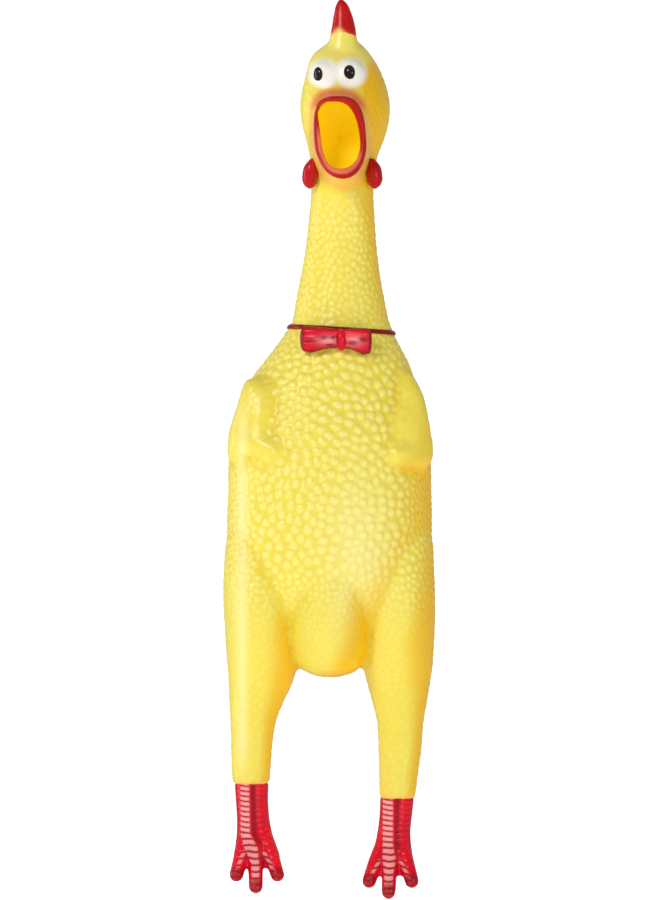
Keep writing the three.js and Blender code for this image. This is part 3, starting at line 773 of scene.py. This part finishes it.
def pupils(material):
    """Glossy black ovals on the eye bulges: discs of rings lifted onto the ball, with a domed middle."""
    for side, eye in EYES.items():
        ball_x, ball_y, ball_z = eye["ball"]
        around = np.linspace(0, 2 * np.pi, 40, endpoint=False)
        rings = []
        for t in np.concatenate([[1.0, 1.0], np.linspace(1, 0.06, 12)]):
            x = eye["pupil"][0] + eye["size"][0] * t * np.cos(around)
            z = eye["pupil"][1] + eye["size"][1] * t * np.sin(around)
            spread = ((x - ball_x) / eye["r"][0]) ** 2 + ((z - ball_z) / eye["r"][2]) ** 2
            ball_front = ball_y - eye["r"][1] * np.sqrt(np.clip(1 - spread, 0.05, 1))
            lift = 0.75 * np.sqrt(max(0.0, 1 - t * t)) - (1.6 if not rings else 0.0)
            rings.append(np.stack([x, ball_front + 0.25 - lift, z], -1))
        points, faces = rings_surface(np.array(rings))
        piece = object_from(f"pupil_oval_{side}", points, turned_outward(points, faces), material)
        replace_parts(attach(piece, "head"), f"pupil_{side}")


def column_ring(z, angle, proud):
    """Points around the neck at heights z, standing proud of the skin."""
    rows = smooth_rows(BODY_ROWS, 0.5)
    x, y, w, d = (np.interp(z, rows[:, 0], rows[:, i]) for i in range(1, 5))
    return x + (w + proud) * np.cos(angle), y + (d + proud) * np.sin(angle)


def neck_band(material):
    """A thin round cord around the neck, a little lower on the right."""
    angle = np.linspace(0, 2 * np.pi, 200, endpoint=False)
    turn = np.linspace(0, 2 * np.pi, 20, endpoint=False)
    rings = []
    for a in angle:
        x0, _ = column_ring(BAND["z"], a, 0)
        z = BAND["z"] + BAND["tilt"] * (x0 - BAND["x"]) + BAND["half"] * np.sin(turn)
        x, y = column_ring(z, a, BAND["proud"] * 0.45 + BAND["half"] * 0.95 * np.cos(turn))
        rings.append(np.stack([x, y, z], -1))
    points, faces = torus_surface(np.array(rings))
    band = object_from("band", points, turned_outward(points, faces), material)
    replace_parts(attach(band, "torso"), "neck_band")


def bow_loops(material):
    """Two soft loops of ribbon: pillows with a flat top edge, a hollowed bottom edge and small dents."""
    turn = np.linspace(0, 2 * np.pi, 96, endpoint=False)
    c, s = np.cos(turn)[None], np.sin(turn)[None]
    along = np.linspace(0, 1, 90)
    a = along[:, None]
    for side in ("left", "right"):
        end_round = np.sqrt(np.clip(1 - ((along - 0.9) / 0.1).clip(0, 1) ** 2, 0, 1))[:, None]
        top, bottom = (np.interp(a, *np.array(BOW_EDGE[edge]).T) for edge in ("top", "bottom"))
        up = np.sign(s) * np.abs(s) ** 0.7
        x = BOW["knot"] + (BOW[side] - BOW["knot"]) * a + 0 * c
        rise = np.where(up > 0, top, bottom) * up * (0.25 + 0.75 * end_round)
        z = BOW["z"] + BOW["tilt"] * (x - BOW["x"]) + rise
        thick = (1.6 + 1.9 * np.sin(a * np.pi * 0.8)) * (0.15 + 0.85 * end_round)
        ruffle = 0.35 * np.sin(up * 8 + 3 * a) * (1 - 0.5 * a)
        dent = sum(1.5 * np.exp(-(((x - u) / w) ** 2) - ((z - v) / h) ** 2) for u, v, w, h in BOW_DENTS)
        y = BOW["y"] + thick * c + (dent - ruffle) * (c < 0) * np.abs(c) + 2.2 * a**2
        # painted shade: the sides of the ribbon darken
        shaded_rim = (1 - ease(np.minimum(-c, 1 - 0.9 * a**10), 0.35, 0.9)) + 0 * a
        points, faces = rings_surface(np.stack([x, y, z], -1))
        # painted highlight: pink patches on the front of the loops
        pink_highlight = sum(np.exp(-(((x - u) / w) ** 2) - ((z - v) / h) ** 2) for u, v, w, h in BOW_HIGHLIGHTS) * (c < 0)
        # painted shade: dark sides and dents
        dark_shade = np.maximum(shaded_rim, 0.7 * np.minimum(dent, 1))
        masks = {"dark_shade": np.append(dark_shade, [1, 1]), "pink_highlight": np.append(pink_highlight, [0, 0])}
        loop = object_from(f"bow_{side}", points, turned_outward(points, faces), material, masks)
        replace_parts(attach(loop, "torso"), f"bow_loop_{side}")
    points, faces = ball_form((BOW["knot"], BOW["y"] - 0.4, BOW["z"] - 0.3), (2.4, 3.4, 4.9), 40, 56)
    # painted shade: the knot darkens towards its sides
    edge = ease(abs(points[:, 0] - BOW["knot"]), 1.2, 2.3)
    masks = {"dark_shade": edge, "pink_highlight": 0 * edge}
    knot = object_from("knot", points, turned_outward(points, faces), material, masks)
    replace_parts(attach(knot, "torso"), "bow_knot")


def foot_skin(side, material):
    """A shank that flares into three webbed toes; plates run down its front and onto the middle toe."""
    foot = FEET[side]
    forms = [level_form(foot["shank"], step=1, around=56)]
    knuckle_height, x, y = foot["shank"][3][:3]
    for tip in np.array(foot["toes"], float):
        root = np.array([0.6 * x + 0.4 * tip[0], y - 1, knuckle_height])
        bend = root * 0.45 + tip * 0.55 + np.array([0, 0.5, 1.0])
        radii = (TOE_RADIUS["root"], (TOE_RADIUS["root"] + TOE_RADIUS["tip"]) / 2, TOE_RADIUS["tip"])
        forms.append(arm_form([(*place, r) for place, r in zip((root, bend, tip), radii)]))
    points, quads = melted(f"foot_{side}", forms, voxel=0.8, rounds=4)
    normals = point_normals(points, quads)
    along = (points[:, 2] - CUFF[side] - 0.25 * (points[:, 1] + 4)) / PLATE_HEIGHT
    groove = ease(np.abs(np.sin(along * np.pi)), 0.25, 0.8)
    front = ease(-normals[:, 1], 0.1, 0.6)
    strip_z, strip_x, strip_half = np.array(foot["plates"][::-1]).T
    off = points[:, 0] - np.interp(points[:, 2], strip_z, strip_x)
    half = np.interp(points[:, 2], strip_z, strip_half)
    # the strip raises the plates; in the paint it is a painted highlight, also on the outer toes
    strip = front * (1 - ease(abs(off), half - 0.2, half + 0.4))
    for tip in (foot["toes"][0], foot["toes"][2]):
        share = np.clip((knuckle_height - 6 - points[:, 2]) / (knuckle_height - 6 - tip[2]), 0, 1)
        toe_off = points[:, 0] - (x + (tip[0] - x) * (0.45 + 0.55 * share)) + 0.8
        strip = np.maximum(strip, 0.8 * front * (share > 0) * (1 - ease(abs(toe_off), 0.5, 1.2)))
    from_tips = [np.linalg.norm(points - np.array(tip), axis=1) for tip in foot["toes"]]
    tips = 1 - ease(np.min(from_tips, 0), 2.2, 4.8)
    lift = 0.35 * strip + (groove - 1) * (0.2 * front + 0.5 * strip)
    points = points + normals * (lift * (1 - tips))[:, None]
    shank = ease(points[:, 2], knuckle_height - 8, knuckle_height)
    # painted shade: a darker band beside the strip
    beside = np.exp(-(((off - half - 2) / 1.7) ** 2)) * front * shank
    creases = hollows(points, quads, rounds=12, deepest=0.5)
    # painted shade: the sides facing left and right darken
    shaded_sides = 0.6 * ease(abs(normals[:, 0]), 0.7, 1)
    # painted shade: grooves between the plates, the band beside the strip, creases and the sides
    dark_shade = np.maximum.reduce([(1 - groove) * (0.2 * front + 0.45 * strip), beside, creases, shaded_sides])
    masks = {"dark_shade": dark_shade, "strip": strip * groove * (1 - tips), "tip": tips}
    piece = object_from(f"foot_skin_{side}", points, quads.tolist(), material, masks)
    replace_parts(piece, f"shank_{side}", f"foot_{side}")
    bend_between(piece)


# ---------- materials ----------


def effect_group(name, inputs, outputs):
    """An empty node group with the given sockets: name and kind, and a start value for an input."""
    group = bpy.data.node_groups.new(name, "ShaderNodeTree")
    for socket, kind, value in inputs:
        made = group.interface.new_socket(socket, in_out="INPUT", socket_type=kind)
        made.default_value = value
    for socket, kind in outputs:
        group.interface.new_socket(socket, in_out="OUTPUT", socket_type=kind)
    return group, group.nodes.new("NodeGroupInput"), group.nodes.new("NodeGroupOutput")


def object_noise(tree, scale, detail):
    """A noise in the object's own coordinates; scale is a socket."""
    noise = tree.nodes.new("ShaderNodeTexNoise")
    noise.inputs["Detail"].default_value = detail
    tree.links.new(tree.nodes.new("ShaderNodeTexCoord").outputs["Object"], noise.inputs["Vector"])
    tree.links.new(scale, noise.inputs["Scale"])
    return noise.outputs["Fac"]


def spread_noise(group, scale, low, high):
    """Noise stretched so that low becomes the least and high the most."""
    share = group.nodes.new("ShaderNodeMapRange")
    share.inputs["From Min"].default_value = low
    share.inputs["From Max"].default_value = high
    group.links.new(object_noise(group, scale, 3), share.inputs["Value"])
    return share


def mottle_group():
    """Slow drift between two tones of one paint."""
    inputs = [("Scale", "NodeSocketFloat", 60), ("Tone A", "NodeSocketColor", (1, 1, 1, 1)),
              ("Tone B", "NodeSocketColor", (1, 1, 1, 1))]
    group, into, out = effect_group("mottle", inputs, [("Colour", "NodeSocketColor")])
    share = spread_noise(group, into.outputs["Scale"], 0.35, 0.65)
    mix = group.nodes.new("ShaderNodeMix")
    mix.data_type = "RGBA"
    group.links.new(share.outputs[0], mix.inputs[0])
    group.links.new(into.outputs["Tone A"], mix.inputs[6])
    group.links.new(into.outputs["Tone B"], mix.inputs[7])
    group.links.new(mix.outputs[2], out.inputs["Colour"])
    return group


def grain_group():
    """Fine skin of moulded vinyl: handled and matter patches, and a fine height for the bump."""
    inputs = [("Scale", "NodeSocketFloat", 240), ("Gloss", "NodeSocketFloat", 0.25),
              ("Matt", "NodeSocketFloat", 0.4)]
    outputs = [("Roughness", "NodeSocketFloat"), ("Height", "NodeSocketFloat")]
    group, into, out = effect_group("grain", inputs, outputs)
    share = spread_noise(group, into.outputs["Scale"], 0.3, 0.7)
    group.links.new(into.outputs["Gloss"], share.inputs["To Min"])
    group.links.new(into.outputs["Matt"], share.inputs["To Max"])
    group.links.new(share.outputs[0], out.inputs["Roughness"])
    finer = group.nodes.new("ShaderNodeMath")
    finer.operation = "MULTIPLY"
    finer.inputs[1].default_value = 4
    group.links.new(into.outputs["Scale"], finer.inputs[0])
    group.links.new(object_noise(group, finer.outputs[0], 2), out.inputs["Height"])
    return group


class Paint:
    """A material whose nodes are added and linked by short calls."""

    def __init__(self, name):
        self.material = bpy.data.materials.new(name)
        self.material.use_nodes = True
        self.tree = self.material.node_tree
        self.surface = self.tree.nodes["Principled BSDF"]

    def node(self, kind, **settings):
        made = self.tree.nodes.new(kind)
        for key, value in settings.items():
            setattr(made, key, value)
        return made

    def feed(self, socket, value):
        if isinstance(value, bpy.types.NodeSocket):
            self.tree.links.new(value, socket)
        else:
            socket.default_value = (*value, 1) if isinstance(value, tuple) else value

    def effect(self, name, **values):
        made = self.node("ShaderNodeGroup", node_tree=bpy.data.node_groups[name])
        for key, value in values.items():
            self.feed(made.inputs[key.replace("_", " ")], value)
        return made

    def mottle(self, scale, tone_a, tone_b):
        return self.effect("mottle", Scale=scale, Tone_A=tone_a, Tone_B=tone_b).outputs["Colour"]

    def over(self, colour, mask, tint, share=1.0):
        """The tint laid over the colour where the painted mask says, up to the given share."""
        painted = self.node("ShaderNodeAttribute", attribute_name=mask).outputs["Fac"]
        if share < 1:
            part = self.node("ShaderNodeMath", operation="MULTIPLY")
            self.feed(part.inputs[0], painted)
            self.feed(part.inputs[1], share)
            painted = part.outputs[0]
        made = self.node("ShaderNodeMix", data_type="RGBA")
        self.feed(made.inputs[0], painted)
        self.feed(made.inputs[6], colour)
        self.feed(made.inputs[7], tint)
        return made.outputs[2]

    def finish(self, colour, gloss, matt, coat, scale=240, bump=0.00004, shine=0.2):
        self.feed(self.surface.inputs["Specular IOR Level"], shine)
        grain = self.effect("grain", Scale=scale, Gloss=gloss, Matt=matt)
        self.feed(self.surface.inputs["Base Color"], colour)
        self.feed(self.surface.inputs["Roughness"], grain.outputs["Roughness"])
        self.feed(self.surface.inputs["Coat Weight"], coat)
        self.feed(self.surface.inputs["Coat Roughness"], 0.28)
        relief = self.node("ShaderNodeBump")
        self.feed(relief.inputs["Height"], grain.outputs["Height"])
        self.feed(relief.inputs["Distance"], bump)
        self.feed(self.surface.inputs["Normal"], relief.outputs["Normal"])
        return self.material


YELLOW_LIGHT = (0.925, 0.80, 0.155)
YELLOW_PALE = (0.94, 0.83, 0.24)
YELLOW_DEEP = (0.855, 0.71, 0.085)
# painted highlight: the paler yellow of the belly and of the streak down the left flank
SHEEN_YELLOW = (0.98, 0.91, 0.45)
# painted shade on the undersides and on the right side
SHADE_AMBER = (0.90, 0.52, 0.004)
# painted shade in the creases
CREASE_SHADE_OCHRE = (0.78, 0.56, 0.012)
PEACH = (0.96, 0.50, 0.12)
SMEAR = (0.85, 0.12, 0.06)
CREAM = (1.0, 0.97, 0.90)
RED = (0.62, 0.008, 0.014)
CRIMSON = (0.84, 0.004, 0.028)
BLOOD = (0.44, 0.004, 0.003)
DARK_RED = (0.17, 0.002, 0.003)
# painted highlight on the lip's inner face
LIP_HIGHLIGHT_SALMON = (0.93, 0.23, 0.12)
# painted highlight on the bow and on the plates of the feet
HIGHLIGHT_PINK = (0.97, 0.42, 0.42)


def skin_material():
    """Yellow vinyl: lighter on the pebbles, deeper between them, as painted light and shade; with
    airbrushed white, peach and red.
    """
    paint = Paint("vinyl_skin")
    colour = paint.mottle(28, YELLOW_DEEP, (0.865, 0.70, 0.07))
    # painted highlight on the pebble tops; the deeper tone left between them is painted shade
    colour = paint.over(colour, "pebble", paint.mottle(34, YELLOW_LIGHT, YELLOW_PALE), 0.85)
    # painted highlight on the belly and down the left flank
    colour = paint.over(colour, "pale", SHEEN_YELLOW, 0.5)
    # painted shade: ochre in the creases
    colour = paint.over(colour, "crease", CREASE_SHADE_OCHRE, 0.8)
    # painted shade: amber on the undersides, on the right and beside the face
    colour = paint.over(colour, "side_shade", SHADE_AMBER)
    colour = paint.over(colour, "blush", PEACH, 0.75)
    colour = paint.over(colour, "smear", SMEAR, 0.85)
    colour = paint.over(colour, "eye_white", CREAM)
    return paint.finish(colour, gloss=0.32, matt=0.44, coat=0.42, scale=220)


def red_material(name, tone_a, tone_b, *layers):
    """Glossy paint that drifts between two reds, with layers of mask, tint and share on top."""
    paint = Paint(name)
    colour = paint.mottle(90, tone_a, tone_b)
    for mask, tint, share in layers:
        colour = paint.over(colour, mask, tint, share)
    return paint.finish(colour, gloss=0.2, matt=0.34, coat=0.12)


def comb_material():
    """Red at the points, fading through peach into yellow at the root."""
    paint = Paint("comb_paint")
    colour = paint.mottle(34, YELLOW_LIGHT, YELLOW_PALE)
    colour = paint.over(colour, "peach", PEACH, 0.6)
    colour = paint.over(colour, "red", paint.mottle(120, RED, BLOOD))
    return paint.finish(colour, gloss=0.24, matt=0.36, coat=0.12)


def lining_material():
    """Satin orange inside of the beak, with a glow of painted light that lifts the shade in the pocket."""
    paint = Paint("mouth_orange")
    colour = paint.mottle(60, (0.79, 0.545, 0.002), (0.77, 0.57, 0.004))
    # painted light: the lining glows, though no lamp is there, to lift the shade of the pocket
    paint.feed(paint.surface.inputs["Emission Color"], colour)
    paint.feed(paint.surface.inputs["Emission Strength"], 0.31)
    return paint.finish(colour, gloss=0.45, matt=0.6, coat=0.0)


def pupil_material():
    """Glossy black paint with a brown cast in places."""
    paint = Paint("pupil_black")
    colour = paint.mottle(400, (0.004, 0.004, 0.005), (0.02, 0.014, 0.01))
    return paint.finish(colour, gloss=0.06, matt=0.14, coat=0.5, bump=0.00002)


def plain_material(name, tone_a, tone_b, rough, metallic=0.0):
    """The squeaker's moulded plastic or its brass: two close tones and a fine grain."""
    paint = Paint(name)
    paint.feed(paint.surface.inputs["Metallic"], metallic)
    return paint.finish(paint.mottle(300, tone_a, tone_b), gloss=rough - 0.06, matt=rough + 0.06, coat=0.0)


def dress_cad_nodes():
    """The squeaker's own CAD pieces keep their shape and get their materials."""
    plastic = plain_material("squeaker_plastic", (0.78, 0.76, 0.70), (0.84, 0.83, 0.78), 0.45)
    brass = plain_material("reed_brass", (0.62, 0.42, 0.14), (0.70, 0.50, 0.20), 0.3, metallic=1.0)
    names = ("squeaker_body", "squeaker_cap", "squeaker_collar", "reed_holder", "reed_wedge", "reed_tongue")
    for name in names:
        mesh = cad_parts[name].data
        mesh.materials.clear()
        mesh.materials.append(brass if name == "reed_tongue" else plastic)


# ---------- scene ----------


# Places and sizes of the surroundings, in metres.
DOME_RADIUS = 12.0
SHEET_HALF_WIDTH = 2.5
FLOOR_FRONT = -2.5
FLOOR_BACK = 0.75
FLOOR_GAP = 0.002  # under the toes
REFLECTOR_CURVE = 0.5
REFLECTOR_HEIGHT = 3.0
CAMERA_PLACE = (0.0004, -3.356, 0.0002)
# Lens and sensor in mm.
LENS = 300
SENSOR_WIDTH = 36
# Glow of the sheets, of the dome and of the world.
SHEET_GLOW = 0.55
DOME_GLOW = 1.1
WORLD_GLOW = 0.25
# Lamps: place, width and height in metres, power in watts.
LAMPS = {
    "key": ((-0.85, -1.2, 0.95), (0.5, 0.5), 12.2),
    "side": ((-1.45, 0.3, 0.0), (0.2, 1.4), 5.0),
    "front": ((1.5, -2.0, 0.0), (0.9, 0.9), 12.4),
}


def lit_paper(name, colour, glow):
    """Matt paper that also gives off a little even light."""
    material = bpy.data.materials.new(name)
    material.use_nodes = True
    surface = material.node_tree.nodes["Principled BSDF"]
    surface.inputs["Base Color"].default_value = (*colour, 1)
    surface.inputs["Roughness"].default_value = 0.9
    surface.inputs["Emission Color"].default_value = (1, 1, 1, 1)
    surface.inputs["Emission Strength"].default_value = glow
    return material


def sheet(name, rows, shown):
    """A wide pale sheet through rows of y and z, which the camera sees only if it is shown."""
    points = [(x, y, z) for y, z in rows for x in (-SHEET_HALF_WIDTH, SHEET_HALF_WIDTH)]
    faces = [(2 * k, 2 * k + 1, 2 * k + 3, 2 * k + 2) for k in range(len(rows) - 1)]
    mesh = bpy.data.meshes.new(name)
    mesh.from_pydata(points, [], faces)
    mesh.shade_smooth()
    mesh.materials.append(lit_paper(name + "_paper", (0.95, 0.95, 0.95), SHEET_GLOW))
    made = bpy.data.objects.new(name, mesh)
    made.visible_camera = shown
    made.visible_glossy = False
    bpy.context.scene.collection.objects.link(made)


def floor_and_reflector():
    """A pale floor under the toes, and behind it a curved reflector that the camera looks through."""
    low = TOES * MM - FLOOR_GAP
    sheet("floor", [(FLOOR_FRONT, low), (FLOOR_BACK, low)], shown=True)
    turn = np.linspace(0, np.pi / 2, 24)
    rows = zip(FLOOR_BACK + REFLECTOR_CURVE * np.sin(turn), low + REFLECTOR_CURVE * (1 - np.cos(turn)))
    top = (FLOOR_BACK + REFLECTOR_CURVE, low + REFLECTOR_HEIGHT)
    sheet("reflector", [*rows, top], shown=False)


def white_dome():
    """The plain white surround: a wide ball around object, lights and camera that lights nothing itself."""
    points, faces = ball_form((0, 0, 0), (DOME_RADIUS / MM,) * 3, up=12, around=24)
    mesh = mesh_from("dome", points, faces)
    mesh.materials.append(lit_paper("white_surround", (0, 0, 0), DOME_GLOW))
    dome = bpy.data.objects.new("dome", mesh)
    for kind in ("diffuse", "glossy", "transmission", "volume_scatter", "shadow"):
        setattr(dome, f"visible_{kind}", False)
    bpy.context.scene.collection.objects.link(dome)


def softbox(name, place, size, power):
    """A soft area light, wide and tall as given, that looks at the chest."""
    light = bpy.data.lights.new(name, "AREA")
    light.shape = "RECTANGLE"
    light.size, light.size_y = size
    light.energy = power
    lamp = bpy.data.objects.new(name, light)
    lamp.location = place
    lamp.rotation_euler = (-Vector(place)).to_track_quat("-Z", "Y").to_euler()
    bpy.context.scene.collection.objects.link(lamp)


def light_and_camera():
    """Soft light from the upper left, weaker fill, and a long lens straight in front."""
    scene = bpy.context.scene
    world = bpy.data.worlds.new("studio")
    world.use_nodes = True
    world.node_tree.nodes["Background"].inputs["Color"].default_value = (1, 1, 1, 1)
    world.node_tree.nodes["Background"].inputs["Strength"].default_value = WORLD_GLOW
    scene.world = world
    scene.view_settings.view_transform = "Standard"
    for name, (place, size, power) in LAMPS.items():
        softbox(name, place, size, power)
    camera_data = bpy.data.cameras.new("camera")
    camera_data.lens = LENS
    camera_data.sensor_width = SENSOR_WIDTH
    camera = bpy.data.objects.new("camera", camera_data)
    camera.location = CAMERA_PLACE
    camera.rotation_euler = (np.pi / 2, 0, 0)
    scene.collection.objects.link(camera)
    scene.camera = camera


def main():
    mottle_group()
    grain_group()
    skin = yellow_skin()
    part_skin(skin, skin_material())
    # the lip's salmon layer is a painted highlight
    beak_lip(red_material("lip_red", BLOOD, (0.46, 0.008, 0.008), ("inside", LIP_HIGHLIGHT_SALMON, 0.9)))
    mouth_lining(lining_material())
    comb(comb_material())
    wattles(red_material("drop_red", (0.54, 0.008, 0.012), BLOOD))
    pupils(pupil_material())
    neck_band(red_material("band_red", (0.34, 0.01, 0.006), DARK_RED))
    # painted highlight in pale pink, painted shade in dark red
    layers = [("pink_highlight", HIGHLIGHT_PINK, 0.7), ("dark_shade", DARK_RED, 0.9)]
    bow_loops(red_material("bow_red", CRIMSON, (0.6, 0.004, 0.02), *layers))
    # painted shade in dark red and a painted highlight in pale pink; the dark toe tips are paint
    layers = [("dark_shade", DARK_RED, 0.75), ("strip", HIGHLIGHT_PINK, 0.85), ("tip", DARK_RED, 0.75)]
    foot_red = red_material("foot_red", (0.92, 0.004, 0.03), (0.7, 0.004, 0.022), *layers)
    for side in FEET:
        foot_skin(side, foot_red)
    dress_cad_nodes()
    floor_and_reflector()
    white_dome()
    light_and_camera()


main()
